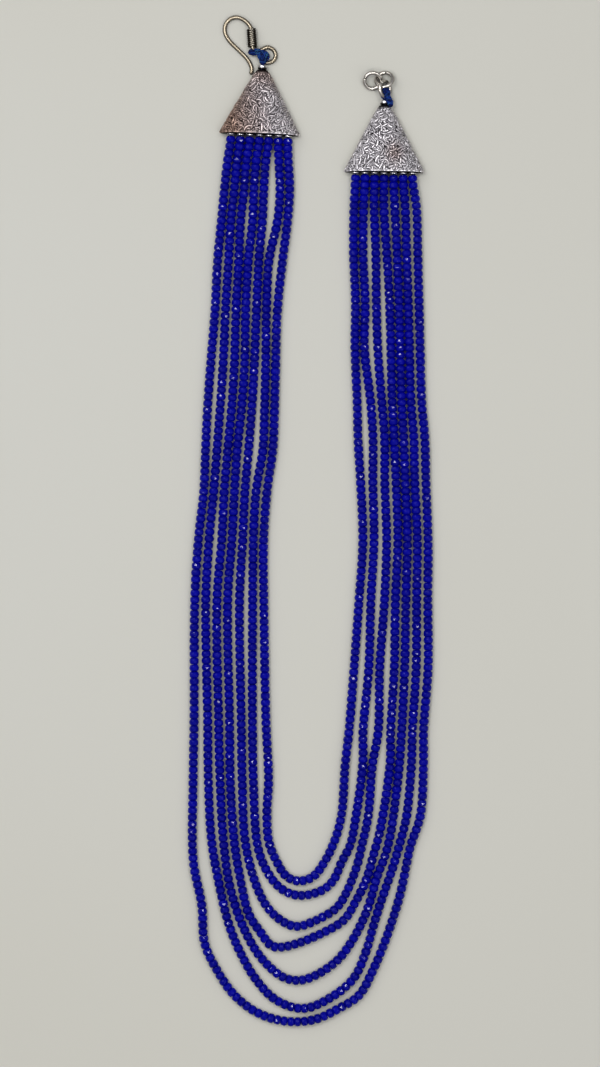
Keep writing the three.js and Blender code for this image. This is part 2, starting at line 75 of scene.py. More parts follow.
# Where the two ends lie: the middle of each cap's mouth, the cap's lean and its length. The side is 1 where
# the strings are numbered from left to right, and -1 where from right to left.
LEFT_END = {"name": "left", "x": -21.0 * MM, "y": 161.9 * MM, "lean": math.radians(-2.4),
            "length": 27.0 * MM, "side": 1}
RIGHT_END = {"name": "right", "x": 31.3 * MM, "y": 146.0 * MM, "lean": math.radians(-0.6),
             "length": 28.0 * MM, "side": -1}
# The middle of the whole outline in these places, which the origin lies under
MIDDLE = np.array([0.33 * MM, -0.1 * MM, 0.0])

# The lie of the strings in metres. A leg's row gives y, then the x of strings 1 to 7, outermost first. A
# turn's list gives x and y along one string, from the left leg round to the right.
STRAND_ROUTES = {
    "left_legs": [
        [0.1512, -0.0344, -0.0304, -0.0265, -0.0224, -0.0183, -0.0129, -0.0089],
        [0.1386, -0.0358, -0.0316, -0.0275, -0.0234, -0.0192, -0.0124, -0.0083],
        [0.1260, -0.0370, -0.0330, -0.0289, -0.0239, -0.0198, -0.0134, -0.0092],
        [0.1092, -0.0386, -0.0340, -0.0297, -0.0257, -0.0213, -0.0170, -0.0113],
        [0.0882, -0.0397, -0.0353, -0.0309, -0.0268, -0.0223, -0.0181, -0.0135],
        [0.0672, -0.0414, -0.0362, -0.0315, -0.0272, -0.0231, -0.0184, -0.0142],
        [0.0462, -0.0429, -0.0376, -0.0328, -0.0286, -0.0243, -0.0189, -0.0147],
        [0.0294, -0.0437, -0.0389, -0.0344, -0.0304, -0.0256, -0.0196, -0.0154],
        [0.0126, -0.0444, -0.0402, -0.0358, -0.0315, -0.0271, -0.0224, -0.0178],
        [-0.0084, -0.0467, -0.0422, -0.0369, -0.0326, -0.0281, -0.0236, -0.0193],
        [-0.0336, -0.0482, -0.0436, -0.0389, -0.0344, -0.0294, -0.0239, -0.0192],
        [-0.0840, -0.0485, -0.0428, -0.0382, -0.0336, -0.0287, -0.0240, -0.0183],
        [-0.1092, -0.0489, -0.0425, -0.0376, -0.0333, -0.0283, -0.0236, -0.0172],
    ],
    "turns": [
        [[-0.0488, -0.1436], [-0.0452, -0.1621], [-0.0441, -0.1779], [-0.0386, -0.1896], [-0.0318, -0.1994],
            [-0.0220, -0.2070], [-0.0102, -0.2106], [0.0019, -0.2100], [0.0127, -0.2050], [0.0207, -0.1999],
            [0.0266, -0.1893], [0.0325, -0.1749], [0.0381, -0.1572], [0.0425, -0.1367], [0.0465, -0.1248]],
        [[-0.0412, -0.1344], [-0.0382, -0.1520], [-0.0340, -0.1696], [-0.0291, -0.1817], [-0.0226, -0.1929],
            [-0.0141, -0.2017], [-0.0026, -0.2053], [0.0086, -0.2008], [0.0183, -0.1929], [0.0236, -0.1817],
            [0.0272, -0.1693], [0.0310, -0.1575], [0.0345, -0.1475], [0.0377, -0.1367], [0.0407, -0.1248]],
        [[-0.0360, -0.1369], [-0.0331, -0.1554], [-0.0281, -0.1705], [-0.0203, -0.1840], [-0.0108, -0.1923],
            [-0.0044, -0.1935], [0.0018, -0.1917], [0.0121, -0.1846], [0.0195, -0.1740], [0.0248, -0.1622],
            [0.0282, -0.1504], [0.0318, -0.1409], [0.0342, -0.1311]],
        [[-0.0317, -0.1344], [-0.0290, -0.1512], [-0.0254, -0.1659], [-0.0203, -0.1735], [-0.0164, -0.1788],
            [-0.0132, -0.1796], [-0.0070, -0.1785], [0.0045, -0.1740], [0.0148, -0.1678], [0.0186, -0.1617],
            [0.0239, -0.1510], [0.0268, -0.1409], [0.0295, -0.1311]],
        [[-0.0271, -0.1344], [-0.0232, -0.1512], [-0.0177, -0.1628], [-0.0108, -0.1690], [-0.0053, -0.1709],
            [0.0009, -0.1690], [0.0113, -0.1631], [0.0151, -0.1573], [0.0198, -0.1457], [0.0220, -0.1367],
            [0.0246, -0.1248]],
        [[-0.0219, -0.1365], [-0.0189, -0.1457], [-0.0137, -0.1534], [-0.0085, -0.1569], [-0.0023, -0.1578],
            [0.0066, -0.1549], [0.0107, -0.1504], [0.0133, -0.1440], [0.0171, -0.1367], [0.0189, -0.1281]],
        [[-0.0179, -0.1239], [-0.0170, -0.1357], [-0.0132, -0.1446], [-0.0097, -0.1499], [-0.0044, -0.1518],
            [0.0016, -0.1499], [0.0057, -0.1446], [0.0098, -0.1367], [0.0133, -0.1248]],
    ],
    "right_legs": [
        [-0.1025, 0.0479, 0.0428, 0.0378, 0.0338, 0.0265, 0.0224, 0.0150],
        [-0.0886, 0.0479, 0.0432, 0.0387, 0.0341, 0.0289, 0.0225, 0.0166],
        [-0.0622, 0.0498, 0.0448, 0.0400, 0.0356, 0.0295, 0.0249, 0.0187],
        [-0.0336, 0.0497, 0.0450, 0.0405, 0.0361, 0.0315, 0.0258, 0.0208],
        [-0.0084, 0.0498, 0.0453, 0.0411, 0.0371, 0.0324, 0.0271, 0.0224],
        [0.0168, 0.0489, 0.0442, 0.0402, 0.0363, 0.0316, 0.0266, 0.0214],
        [0.0336, 0.0485, 0.0439, 0.0396, 0.0356, 0.0316, 0.0267, 0.0204],
        [0.0504, 0.0471, 0.0426, 0.0387, 0.0347, 0.0303, 0.0256, 0.0200],
        [0.0718, 0.0465, 0.0420, 0.0381, 0.0342, 0.0287, 0.0231, 0.0191],
        [0.0920, 0.0460, 0.0415, 0.0376, 0.0336, 0.0281, 0.0234, 0.0193],
        [0.1117, 0.0455, 0.0408, 0.0368, 0.0325, 0.0279, 0.0225, 0.0185],
        [0.1319, 0.0449, 0.0402, 0.0358, 0.0312, 0.0271, 0.0227, 0.0187],
    ],
}


def end_point(end, x, y, z):
    """One place in a cap's own frame, which starts at the middle of its mouth."""
    cos, sin = math.cos(end["lean"]), math.sin(end["lean"])
    return np.array([end["x"] + x * cos - y * sin, end["y"] + x * sin + y * cos, z]) - MIDDLE


def smooth_line(points, step):
    """Even steps along the centripetal curve through the points, and the direction at each."""
    points = np.array(points, dtype=float)
    knots = np.vstack([2 * points[0] - points[1], points, 2 * points[-1] - points[-2]])
    share = np.linspace(0, 1, CURVE_STEPS, endpoint=False)[:, None]
    parts = []
    for a, b, c, d in zip(knots, knots[1:], knots[2:], knots[3:]):
        ab, bc, cd = (max(np.linalg.norm(q - p), 1e-9) ** 0.5 for p, q in ((a, b), (b, c), (c, d)))
        leave = ((b - a) / ab - (c - a) / (ab + bc) + (c - b) / bc) * bc
        arrive = ((c - b) / bc - (d - b) / (bc + cd) + (d - c) / cd) * bc
        cubic = 2 * b - 2 * c + leave + arrive
        square = -3 * b + 3 * c - 2 * leave - arrive
        parts.append(b + leave * share + square * share ** 2 + cubic * share ** 3)
    line = np.vstack(parts + [points[-1:]])
    run = np.concatenate([[0], np.cumsum(np.linalg.norm(np.diff(line, axis=0), axis=1))])
    at = np.linspace(0, run[-1], max(2, round(run[-1] / step) + 1))
    even = np.column_stack([np.interp(at, run, line[:, k]) for k in range(3)])
    return even, directions(even)


def directions(line, closed=False):
    """The direction of a line at each of its points."""
    ahead = np.roll(line, -1, axis=0) - np.roll(line, 1, axis=0) if closed else np.gradient(line, axis=0)
    return ahead / np.linalg.norm(ahead, axis=1)[:, None]


def string_points(strand):
    """The points that a string's middle line passes, from the left spacer to the right one."""
    lie = BEAD_DIAMETER / 2
    level = [0] * len(STRAND_ROUTES["left_legs"])
    rise = [share * (SPACER_AXIS - lie) for share in STRING_RISE_SHARES] + level
    offset = (strand - (STRAND_COUNT - 1) / 2) * SPACER_PITCH
    lead = STRING_START + STRING_LEAD
    points = [end_point(LEFT_END, offset, -STRING_START, SPACER_AXIS),
              end_point(LEFT_END, offset, -lead, SPACER_AXIS)]
    for row, values in enumerate(STRAND_ROUTES["left_legs"]):
        points.append(np.array([values[strand + 1], values[0], lie + rise[row]]) - MIDDLE)
    for x, y in STRAND_ROUTES["turns"][strand]:
        points.append(np.array([x, y, lie]) - MIDDLE)
    for row, values in enumerate(STRAND_ROUTES["right_legs"]):
        left = len(STRAND_ROUTES["right_legs"]) - 1 - row
        points.append(np.array([values[strand + 1], values[0], lie + rise[left]]) - MIDDLE)
    points.append(end_point(RIGHT_END, -offset, -lead, SPACER_AXIS))
    points.append(end_point(RIGHT_END, -offset, -STRING_START, SPACER_AXIS))
    return points


def make_piece(name, points, faces, tones, smooth=True):
    """A mesh from arrays. Tones are numbers kept on its points, by name, for the finish."""
    mesh = bpy.data.meshes.new(name)
    mesh.from_pydata(np.asarray(points).tolist(), [], [list(map(int, face)) for face in faces])
    for tone, values in tones.items():
        values = np.asarray(values, dtype=np.float32)
        mesh.attributes.new(tone, "FLOAT", "POINT").data.foreach_set("value", values)
    mesh.shade_smooth() if smooth else mesh.shade_flat()
    piece = bpy.data.objects.new(name, mesh)
    bpy.context.scene.collection.objects.link(piece)
    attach(piece, "root")
    return piece


def band(first, second, count):
    """The quads between two closed rings of points, numbered on from first and from second."""
    here = np.arange(count)
    after = (here + 1) % count
    return np.column_stack([first + here, first + after, second + after, second + here]).tolist()


def rondelle():
    """One bead about the Y axis: bore, end, shoulder and belt line, the facets between them, and its painted
    shade.
    """
    count = BEAD_FACETS
    half = [(BEAD_HALF_LENGTH * BEAD_BORE_SHARE, BEAD_BORE), (BEAD_HALF_LENGTH, BEAD_END_DIAMETER),
            (BEAD_SHOULDER_REACH, BEAD_SHOULDER_DIAMETER)]
    sections = [(-y, wide, 0) for y, wide in half] + [(0, BEAD_DIAMETER, 0.5)]
    sections += [(y, wide, 0) for y, wide in half[::-1]]
    rings = []
    for y, wide, turn in sections:
        angle = (np.arange(count) + turn) * 2 * math.pi / count
        ring = [wide / 2 * np.cos(angle), np.full(count, float(y)), wide / 2 * np.sin(angle)]
        rings.append(np.column_stack(ring))
    here, after = np.arange(count), (np.arange(count) + 1) % count
    low, belt, high = 2 * count, 3 * count, 4 * count
    faces = band(count, 0, count) + band(low, count, count)
    for triangle in ((low + here, belt + here, low + after), (low + after, belt + here, belt + after),
                     (belt + here, high + here, high + after), (belt + here, high + after, belt + after)):
        faces += np.column_stack(triangle).tolist()
    faces += band(5 * count, high, count) + band(6 * count, 5 * count, count) + band(0, 6 * count, count)
    return np.vstack(rings), faces, np.repeat(BEAD_PAINTED_SHADES, count)


def across(heading):
    """Two directions square to each heading: sideways in the plan, and the one above both."""
    side = np.cross(heading, [0.0, 0.0, 1.0])
    length = np.linalg.norm(side, axis=1)[:, None]
    side = np.where(length > 1e-6, side / np.maximum(length, 1e-6), [1.0, 0.0, 0.0])
    return side, np.cross(side, heading)


def string_of_beads(strand, chance):
    """The beads of one string, each rolled, leant and sized a little by chance, with its own tone of blue
    and painted shade.
    """
    touching, _ = smooth_line(string_points(strand), BEAD_PITCH)
    line = (touching[1:] + touching[:-1]) / 2
    count = len(line)
    heading = directions(line) + chance.normal(0, BEAD_LEAN, (count, 3))
    heading /= np.linalg.norm(heading, axis=1)[:, None]
    side, up = across(heading)
    roll = chance.uniform(0, 2 * math.pi, count)[:, None]
    turned_side = side * np.cos(roll) + up * np.sin(roll)
    turned_up = up * np.cos(roll) - side * np.sin(roll)
    bead, bead_faces, painted_end_shade = rondelle()
    size = chance.normal(1, BEAD_SIZE_SPREAD, count)[:, None, None]
    points = (bead[None, :, 0, None] * turned_side[:, None] + bead[None, :, 1, None] * heading[:, None]
              + bead[None, :, 2, None] * turned_up[:, None]) * size + line[:, None]
    faces = [[v + k * len(bead) for v in face] for k in range(count) for face in bead_faces]
    tone = chance.uniform(*BEAD_TONES, count)[:, None] * painted_end_shade[None]
    return points.reshape(-1, 3), faces, {"tone_and_painted_shade": tone.ravel()}


def tube(line, heading, radius, sides, closed=False):
    """Points and faces of a round bar along a line, with its ends closed."""
    side, up = [], []
    last = across(heading[:1])[0][0]
    for direction in heading:
        last = last - direction * np.dot(last, direction)
        last = last / np.linalg.norm(last)
        side.append(last)
        up.append(np.cross(direction, last))
    side, up = np.array(side), np.array(up)
    angle = np.arange(sides) * 2 * math.pi / sides
    radius = np.broadcast_to(radius, (len(line),))[:, None, None]
    ring = side[:, None] * np.cos(angle)[None, :, None] + up[:, None] * np.sin(angle)[None, :, None]
    points = (line[:, None] + ring * radius).reshape(-1, 3)
    faces = []
    for row in range(len(line) - (0 if closed else 1)):
        faces += band(row * sides, (row + 1) % len(line) * sides, sides)
    if not closed:
        faces += [list(range(sides))[::-1], list(range(len(points) - sides, len(points)))]
    return points, faces


def new_finish(name):
    """An empty material, and its nodes, links and main shader."""
    material = bpy.data.materials.new(name)
    material.use_nodes = True
    tree = material.node_tree
    return material, tree.nodes, tree.links, tree.nodes["Principled BSDF"]


def stored(nodes, name):
    """The number that a mesh keeps on its points under this name."""
    node = nodes.new("ShaderNodeAttribute")
    node.attribute_name = name
    return node.outputs["Fac"]


def shades(nodes, links, source, *stops):
    """A colour for each value of the source, from stops of a position and a colour."""
    node = nodes.new("ShaderNodeValToRGB")
    elements = node.color_ramp.elements
    while len(elements) < len(stops):
        elements.new(0.5)
    for element, (position, colour) in zip(elements, stops):
        element.position = position
        element.color = (*colour, 1)
    links.new(source, node.inputs["Fac"])
    return node.outputs["Color"]


def cloudy(nodes, scale, detail=3.0):
    """Soft noise from 0 to 1, finer as the scale rises."""
    node = nodes.new("ShaderNodeTexNoise")
    node.inputs["Scale"].default_value = scale
    node.inputs["Detail"].default_value = detail
    return node.outputs["Fac"]


def times(nodes, links, first, second):
    """One colour darkened by another."""
    node = nodes.new("ShaderNodeMix")
    node.data_type = "RGBA"
    node.blend_type = "MULTIPLY"
    node.inputs["Factor"].default_value = 1.0
    links.new(first, node.inputs["A"])
    links.new(second, node.inputs["B"])
    return node.outputs["Result"]


def dress(piece, material):
    """Gives a piece its material."""
    piece.data.materials.append(material)


# The glass is a deep royal blue and passes little light, hardly any of it red or green
GLASS_DEEP = (0.0006, 0.0008, 0.135)
GLASS_BRIGHT = (0.0012, 0.002, 0.33)
glass, nodes, links, shader = new_finish("blue_glass")
# Each bead's own tone, darkened towards its ends by painted shade where the beads meet
blue = shades(nodes, links, stored(nodes, "tone_and_painted_shade"), (0, GLASS_DEEP), (1, GLASS_BRIGHT))
links.new(blue, shader.inputs["Base Color"])
shader.inputs["Roughness"].default_value = 0.07
shader.inputs["IOR"].default_value = 1.52
shader.inputs["Specular IOR Level"].default_value = 0.06
shader.inputs["Transmission Weight"].default_value = 0.12

# The thread is dull twisted cord, navy to royal blue, with a few strands of teal
thread_finish, nodes, links, shader = new_finish("blue_thread")
shader.inputs["Roughness"].default_value = 0.75
shader.inputs["Specular IOR Level"].default_value = 0.1
dyed = shades(nodes, links, stored(nodes, "tone_and_painted_shade"),
              (0, (0.003, 0.006, 0.030)), (0.3, (0.004, 0.012, 0.11)),
              (0.6, (0.008, 0.034, 0.29)), (1, (0.04, 0.16, 0.30)))
fuzz = shades(nodes, links, cloudy(nodes, 1100), (0.3, (0.55, 0.55, 0.55)), (0.7, (1, 1, 1)))
links.new(times(nodes, links, dyed, fuzz), shader.inputs["Base Color"])

chance = np.random.default_rng(BEAD_SEED)
for strand in range(STRAND_COUNT):
    beads = make_piece(f"beads_{strand + 1}", *string_of_beads(strand, chance), smooth=False)
    dress(beads, glass)
    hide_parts(f"strand_{strand + 1}")
    line, heading = smooth_line(string_points(strand), BEAD_THREAD_STEP)
    points, faces = tube(line, heading, BEAD_THREAD / 2, THREAD_SIDES)
    tone = {"tone_and_painted_shade": np.full(len(points), BEAD_THREAD_TONE)}
    cord = make_piece(f"bead_thread_{strand + 1}", points, faces, tone)
    dress(cord, thread_finish)

# Spacers and collars. A thin silver disc bead sits in the cap's mouth at each end of each string and keeps
# the strings apart. One barrel bead at each cap's point, the collar, hides the hole where the gathered
# threads come out. All are turned and polished, and held only by the thread through them.

SPACER_DIAMETER = 3.6 * MM
SPACER_LENGTH = 1.0 * MM
SPACER_BORE = 1.2 * MM
SPACER_ROUNDNESS = 0.7
SPACER_TONES = (0.8, 1)
COLLAR_DIAMETER = 3.8 * MM
COLLAR_LENGTH = 1.85 * MM
COLLAR_GAP = 0.3 * MM
COLLAR_ROUNDNESS = 0.45
# Painted shadow next to the cap: the collar's share kept bright from its far end, and the share of the fade
COLLAR_UNSHADOWED_SHARE = 0.62
COLLAR_SHADOW_FADE_SHARE = 0.12
STEM_DIAMETER = 1.5 * MM
STEM_CLEARANCE = 0.46 * MM
STEM_BORE = STEM_DIAMETER + 2 * STEM_CLEARANCE
CAP_WALL = 1.1 * MM
STEM_AXIS = STEM_BORE / 2 + CAP_WALL


def turned_bead(diameter, length, bore, roundness, sides=36, steps=14):
    """A disc or barrel bead about the Y axis: a rounded rim outside and a straight bore inside."""
    angle = np.linspace(-math.pi / 2, math.pi / 2, steps)
    reach = (diameter - bore) / 2
    round_y = length / 2 * np.sign(np.sin(angle)) * np.abs(np.sin(angle)) ** roundness
    round_r = bore / 2 + reach * np.cos(angle).clip(0) ** roundness
    around = np.arange(sides) * 2 * math.pi / sides
    points = np.stack([round_r[:, None] * np.cos(around), np.repeat(round_y[:, None], sides, 1),
                       round_r[:, None] * np.sin(around)], axis=2).reshape(-1, 3)
    faces = [face for ring in range(steps) for face in band((ring + 1) % steps * sides, ring * sides, sides)]
    return points, faces


def at_end(end, points, x=0.0, y=0.0, z=0.0):
    """Points made about the origin, set at a place in a cap's own frame."""
    points = np.asarray(points) + [x, y, z]
    cos, sin = math.cos(end["lean"]), math.sin(end["lean"])
    turned = points[:, 0] * cos - points[:, 1] * sin, points[:, 0] * sin + points[:, 1] * cos
    return np.column_stack([turned[0] + end["x"], turned[1] + end["y"], points[:, 2]]) - MIDDLE


def together(parts):
    """Several sets of points, faces and one tone each, as one set."""
    points, faces, tones = [], [], []
    start = 0
    for part_points, part_faces, tone in parts:
        points.append(part_points)
        faces += [[v + start for v in face] for face in part_faces]
        tones.append(np.full(len(part_points), tone))
        start += len(part_points)
    return np.vstack(points), faces, {"tone_and_painted_shade": np.concatenate(tones)}


def painted_light_from_above(nodes, low, high):
    """From 0 to 1 as a surface turns from sideways to facing up: painted light, bright on top and shaded at
    the sides.
    """
    facing = nodes.new("ShaderNodeNewGeometry")
    parts = nodes.new("ShaderNodeSeparateXYZ")
    share = nodes.new("ShaderNodeMapRange")
    share.interpolation_type = "SMOOTHSTEP"
    share.inputs["From Min"].default_value = low
    share.inputs["From Max"].default_value = high
    facing.id_data.links.new(facing.outputs["Normal"], parts.inputs["Vector"])
    facing.id_data.links.new(parts.outputs["Z"], share.inputs["Value"])
    return share.outputs["Result"]


def tarnished_wire_with_painted_shade(name, low, high, dark, bright, roughness):
    """Silver with painted shade, dark at its sides and bright on top, with clouds of tarnish and fine marks.
    """
    material, nodes, links, shader = new_finish(name)
    shader.inputs["Metallic"].default_value = 1.0
    shader.inputs["Roughness"].default_value = roughness
    # Painted shade: dark where the surface turns from facing up, bright on top
    darkening = shades(nodes, links, painted_light_from_above(nodes, low, high), (0, dark), (1, bright))
    clouds = shades(nodes, links, cloudy(nodes, 260, 5), (0.35, (0.62, 0.58, 0.52)), (0.62, (1, 1, 1)))
    links.new(times(nodes, links, darkening, clouds), shader.inputs["Base Color"])
    marks = nodes.new("ShaderNodeBump")
    marks.inputs["Strength"].default_value = 0.2
    marks.inputs["Distance"].default_value = 0.00006
    links.new(cloudy(nodes, 1500), marks.inputs["Height"])
    links.new(marks.outputs["Normal"], shader.inputs["Normal"])
    return material


polish, nodes, links, shader = new_finish("polished_silver")
shader.inputs["Metallic"].default_value = 1.0
shader.inputs["Roughness"].default_value = 0.25
# The collar's colour, near black where its tone is 0: painted shadow next to the cap
plating_and_painted_shadow = shades(nodes, links, stored(nodes, "tone_and_painted_shade"),
                 (0, (0.02, 0.018, 0.018)), (1, (0.90, 0.89, 0.90)))
clouds = shades(nodes, links, cloudy(nodes, 420), (0.3, (0.75, 0.73, 0.72)), (0.65, (1, 1, 1)))
links.new(times(nodes, links, plating_and_painted_shadow, clouds), shader.inputs["Base Color"])
# The spacers carry painted shade: dark at their sides, bright on top
spacer_silver = tarnished_wire_with_painted_shade("spacer_silver", 0.25, 0.66, (0.015, 0.013, 0.014), (1.0, 0.98, 1.0), 0.25)

for end in (LEFT_END, RIGHT_END):
    discs = []
    for strand in range(STRAND_COUNT):
        points, faces = turned_bead(SPACER_DIAMETER, SPACER_LENGTH, SPACER_BORE, SPACER_ROUNDNESS)
        offset = end["side"] * (strand - (STRAND_COUNT - 1) / 2) * SPACER_PITCH
        place = at_end(end, points, offset, -SPACER_DEPTH, SPACER_AXIS)
        discs.append((place, faces, chance.uniform(*SPACER_TONES)))
    spacers = make_piece(f"{end['name']}_spacers", *together(discs))
    dress(spacers, spacer_silver)
    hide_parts(*[f"{end['name']}_spacer_{strand + 1}" for strand in range(STRAND_COUNT)])
    points, faces = turned_bead(COLLAR_DIAMETER, COLLAR_LENGTH, STEM_BORE, COLLAR_ROUNDNESS)
    # Painted shadow: the collar is dark on its part next to the cap and bright further on
    bright = np.clip((points[:, 1] / COLLAR_LENGTH + COLLAR_UNSHADOWED_SHARE - 0.5) / COLLAR_SHADOW_FADE_SHARE, 0, 1)
    place = at_end(end, points, 0, end["length"] + COLLAR_GAP + COLLAR_LENGTH / 2, STEM_AXIS)
    collar = make_piece(f"{end['name']}_collar_bead", place, faces, {"tone_and_painted_shade": bright})
    dress(collar, polish)
    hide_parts(f"{end['name']}_collar")

# End caps. Two flat triangular cones of cast silver, hollow, with a plain flat back. The front is covered
# with short raised strokes that run every way, dark between them, and the mouth has a thin uneven rim.
# The strings' threads gather inside and leave by the hole at the point.

SPACER_GAP = 0.4 * MM
CAP_SIDE_ROOM = 1.9 * MM
CAP_HEADROOM = 1.9 * MM
CAP_CLEARANCE = 0.3 * MM
CAP_BULGE = 0.7 * MM
CAP_FOOT = 0.9 * MM
CAP_FOOT_SHARE = 0.35
FOOT_EDGE_SHARE = 0.25
FOOT_EDGE_RISE = 0.4
CAP_CORNER = 0.5 * MM
CAP_CORNER_REACH = 0.6 * MM
CAP_ROUNDNESS = 2.6
CAP_BELLY_SHARE = 0.25
RIM_WIDTH = 0.85 * MM
RIM_HEIGHT = 0.5 * MM
RIM_LUMP = 1.8 * MM
RIM_ROWS = 12
RIM_INNER_SHARE = 0.8
RIM_FADE = 0.25 * MM
POINT_MARGIN = 0.5 * MM
POINT_FADE = 0.9 * MM
RELIEF_FOOT = 0.5 * MM
RELIEF_FADE = 1.2 * MM
MOUTH_HALF_WIDTH = (STRAND_COUNT * SPACER_PITCH - SPACER_GAP) / 2 + CAP_SIDE_ROOM + CAP_WALL
MOUTH_HEIGHT = SPACER_DIAMETER + CAP_CLEARANCE + CAP_HEADROOM + 2 * CAP_WALL
APEX_HALF_WIDTH = STEM_BORE / 2 + CAP_WALL
APEX_HEIGHT = STEM_BORE + 2 * CAP_WALL
FRONT_COLUMNS = 330
BACK_COLUMNS = 16
OUTLINE_STEPS = 500
FRONT_ROWS = 190
INNER_ROWS = 8
STROKE_COUNT = 1900
STROKE_FIELD_HALF_WIDTH = 24 * MM
STROKE_FIELD_LENGTH = (-1 * MM, 29 * MM)
STROKE_WIDTH = 0.88 * MM
STROKE_WIDTH_SPREAD = 0.12
STROKE_HALF_LENGTHS = (0.8 * MM, 1.8 * MM)
STROKE_GROOVE = 0.12 * MM
STROKE_BEND = 240
STROKE_HEIGHT = 0.6 * MM
STROKE_TOPS = (0.55, 1)
CAP_SEEDS = {"left": 21, "right": 34}
BACK_BRIGHTNESS = 0.7
# The right cap's brown patch: its middle and spread in its frame, and how brown it is
BROWN_PATCH_MIDDLE = (4.2 * MM, 8 * MM)
BROWN_PATCH_SPREAD = (3.6 * MM, 4.5 * MM)
BROWN_PATCH_DEPTH = 0.6

# The threads inside a cap, from its mouth to its point: how far each string's keeps to its own side
GATHER_SHARES = (0.94, 0.35, 0.02)
GATHER_REACH = 3 * MM
GATHER_PLACE = 0.6
GATHER_RISE = 0.4 * MM
GATHER_STEP = 1 * MM
GATHERED_THREAD = 0.44 * MM
GATHERED_TONES = (0.4, 0.7)


def cap_row(length, y, inset):
    """One closed outline of the cap across its length: the front from foot to foot, then the flat back."""
    share = y / length
    half = MOUTH_HALF_WIDTH + (APEX_HALF_WIDTH - MOUTH_HALF_WIDTH) * share
    half -= CAP_CORNER * max(0, 1 - y / CAP_CORNER_REACH) ** 2 + inset
    height = MOUTH_HEIGHT + (APEX_HEIGHT - MOUTH_HEIGHT) * share
    height = height + CAP_BULGE * math.sin(math.pi * share) - 2 * inset
    belly = height * CAP_BELLY_SHARE
    foot = min(CAP_FOOT, half * CAP_FOOT_SHARE)
    edge, rise = foot * FOOT_EDGE_SHARE, belly * FOOT_EDGE_RISE
    angle = np.linspace(0, math.pi, OUTLINE_STEPS)
    x = half * np.sign(np.cos(angle)) * np.abs(np.cos(angle)) ** (2 / CAP_ROUNDNESS)
    z = belly + (height - belly) * np.sin(angle).clip(0) ** (2 / CAP_ROUNDNESS)
    x = np.concatenate([[half - foot, half - edge], x, [edge - half, foot - half]])
    z = np.concatenate([[0, rise], z, [rise, 0]])
    run = np.concatenate([[0], np.cumsum(np.hypot(np.diff(x), np.diff(z)))])
    at = np.linspace(0, run[-1], FRONT_COLUMNS)
    front = np.column_stack([np.interp(at, run, x), np.full(FRONT_COLUMNS, y), np.interp(at, run, z)])
    share = np.linspace(0, 1, BACK_COLUMNS + 2)[1:-1]
    back = [foot - half + share * 2 * (half - foot), np.full(BACK_COLUMNS, y), np.zeros(BACK_COLUMNS)]
    back = np.column_stack(back)
    return np.vstack([front, back]) + [0, 0, inset], at - run[-1] / 2


def stroke_relief(around, along, chance):
    """Height from 0 to 1 of the cast strokes: short bent ridges every way, each cutting those before it."""
    height = np.zeros(around.shape)
    for _ in range(STROKE_COUNT):
        middle = (chance.uniform(-STROKE_FIELD_HALF_WIDTH, STROKE_FIELD_HALF_WIDTH),
                  chance.uniform(*STROKE_FIELD_LENGTH))
        way, bend = chance.uniform(0, math.pi), chance.normal(0, STROKE_BEND)
        half = chance.uniform(*STROKE_HALF_LENGTHS)
        wide = chance.normal(1, STROKE_WIDTH_SPREAD) * STROKE_WIDTH / 2
        top = chance.uniform(*STROKE_TOPS)
        near = np.flatnonzero(np.abs(along[:, 0] - middle[1]) < half + wide + STROKE_GROOVE)
        if not len(near):
            continue
        rows = slice(near[0], near[-1] + 1)
        x, y = around[rows] - middle[0], along[rows] - middle[1]
        run = x * math.cos(way) + y * math.sin(way)
        aside = y * math.cos(way) - x * math.sin(way) - bend * (run ** 2 - half ** 2 / 3)
        away = np.hypot(np.maximum(np.abs(run) - half, 0), aside)
        ridge = top * np.sqrt(np.clip(1 - (away / wide) ** 2, 0, 1))
        height[rows] = np.where(away < wide + STROKE_GROOVE, ridge, height[rows])
    return height


